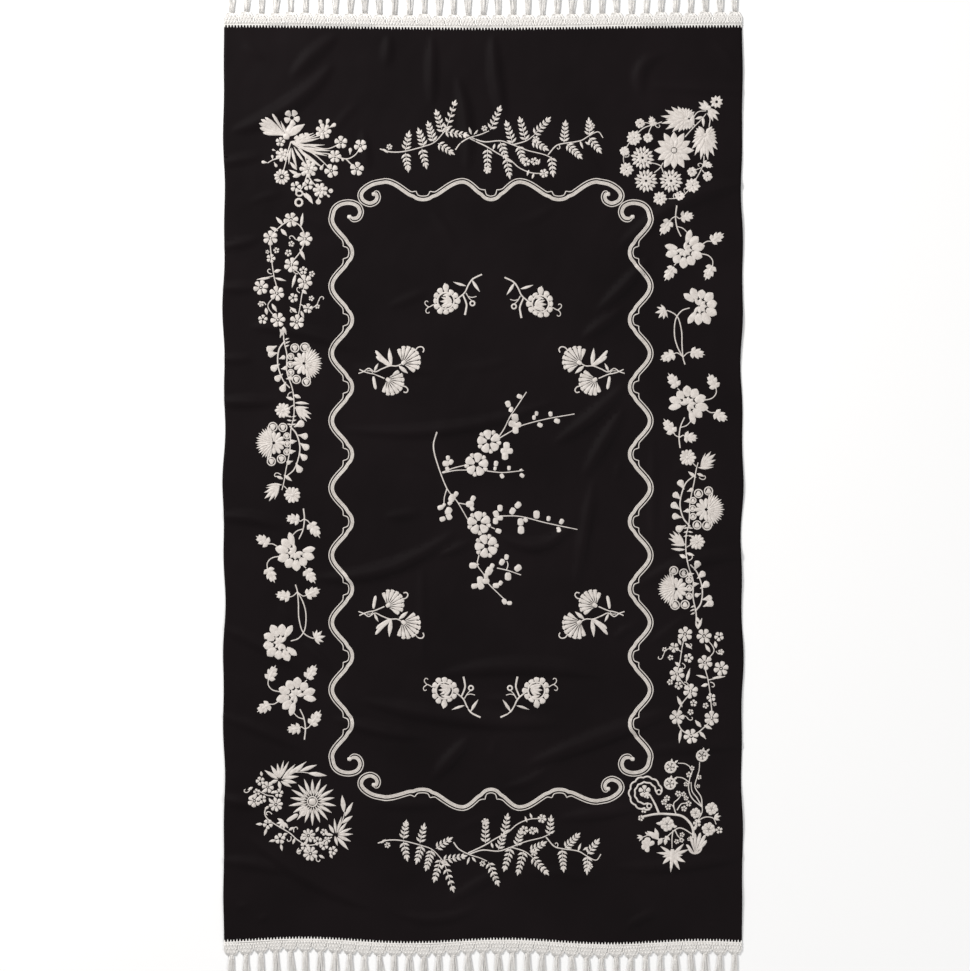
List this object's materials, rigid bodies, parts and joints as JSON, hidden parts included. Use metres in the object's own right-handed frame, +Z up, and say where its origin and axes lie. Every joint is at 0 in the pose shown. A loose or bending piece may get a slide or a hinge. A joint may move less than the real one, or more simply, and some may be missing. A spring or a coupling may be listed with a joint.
{
  "type": "embroidered shawl",
  "caption": "Rectangular black crepe shawl laid flat, with ecru floral embroidery round a scroll frame and a knotted, tasselled fringe along each short end.",
  "frame": {"origin": "middle of the shawl's box, on the surface it lies on", "axes": "+Z up from the surface, +Y along the length towards the end with the bouquet and wreath corners, +X to the right of it"},
  "size_m": [1.042, 2.09, 0.0117],
  "materials": {
    "crepe": "soft matt black crepe",
    "embroidery": "ecru silk thread in satin and chain stitch",
    "fringe": "knotted cream silk yarn"
  },
  "bodies": {
    "root": {"panel": "crepe", "fringe_top": "fringe", "fringe_bottom": "fringe", "scroll_left": "embroidery", "scroll_right": "embroidery", "scroll_top": "embroidery", "scroll_bottom": "embroidery", "garland_left": "embroidery", "carnation_chain_left": "embroidery", "lotus_left_1": "embroidery", "lotus_left_2": "embroidery", "lotus_left_3": "embroidery", "garland_right": "embroidery", "carnation_chain_right": "embroidery", "lotus_right_1": "embroidery", "lotus_right_2": "embroidery", "lotus_right_3": "embroidery", "fern_top": "embroidery", "fern_bottom": "embroidery", "bouquet_corner": "embroidery", "wreath_corner": "embroidery", "sun_wreath_corner": "embroidery", "branch_corner": "embroidery", "rose_sprig_1": "embroidery", "rose_sprig_2": "embroidery", "rose_sprig_3": "embroidery", "rose_sprig_4": "embroidery", "carnation_pair_1": "embroidery", "carnation_pair_2": "embroidery", "carnation_pair_3": "embroidery", "carnation_pair_4": "embroidery", "blossom_branch": "embroidery"}
  },
  "joints": []
}
